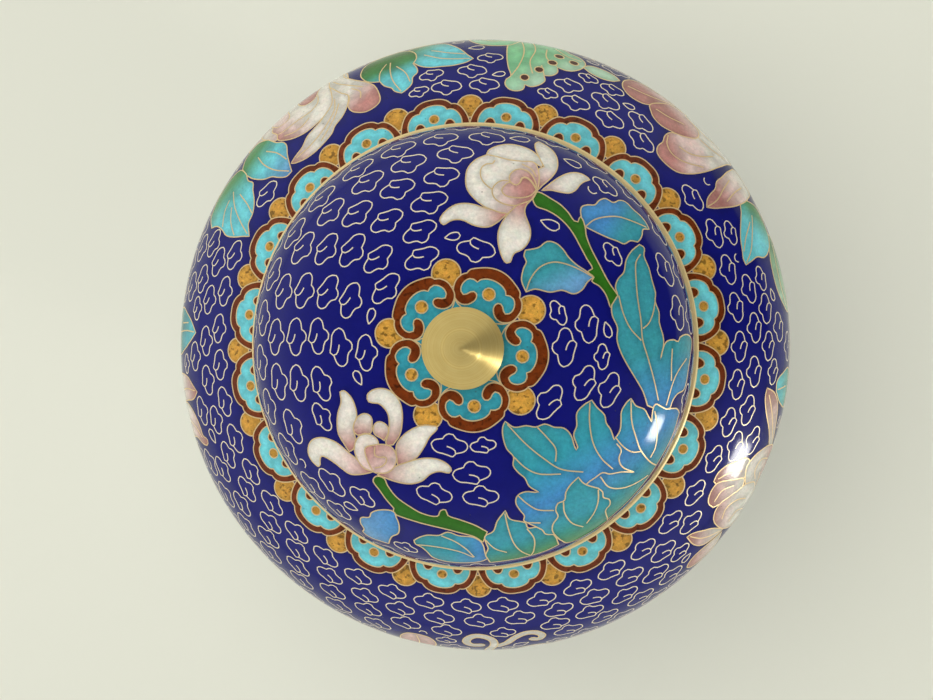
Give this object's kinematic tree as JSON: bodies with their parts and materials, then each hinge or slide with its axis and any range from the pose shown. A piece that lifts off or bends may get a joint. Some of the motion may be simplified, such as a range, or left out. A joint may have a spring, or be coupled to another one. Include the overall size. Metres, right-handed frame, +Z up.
{
  "type": "cloisonne ginger jar",
  "caption": "Lidded ginger jar in cobalt cloisonne enamel, with a lift-off domed lid, brass rims and a turned brass knob; stands on a foot ring.",
  "frame": {"origin": "on the table, at the middle of the foot ring", "axes": "+Z up along the axis that every piece is turned about; +Y is the side that is up in the view from above; -Y is the front"},
  "size_m": [0.144, 0.144, 0.1793],
  "materials": {
    "body_enamel": "polished cobalt enamel with brass wires",
    "lid_enamel": "polished cobalt enamel with brass wires",
    "gilt_brass": "polished gilt brass",
    "knob_brass": "turned and polished brass"
  },
  "bodies": {
    "root": {"jar_body": "body_enamel", "foot_ring": "gilt_brass", "mouth_lip": "gilt_brass", "lid": "lid_enamel", "lid_ring": "gilt_brass", "knob": "knob_brass"}
  },
  "joints": []
}
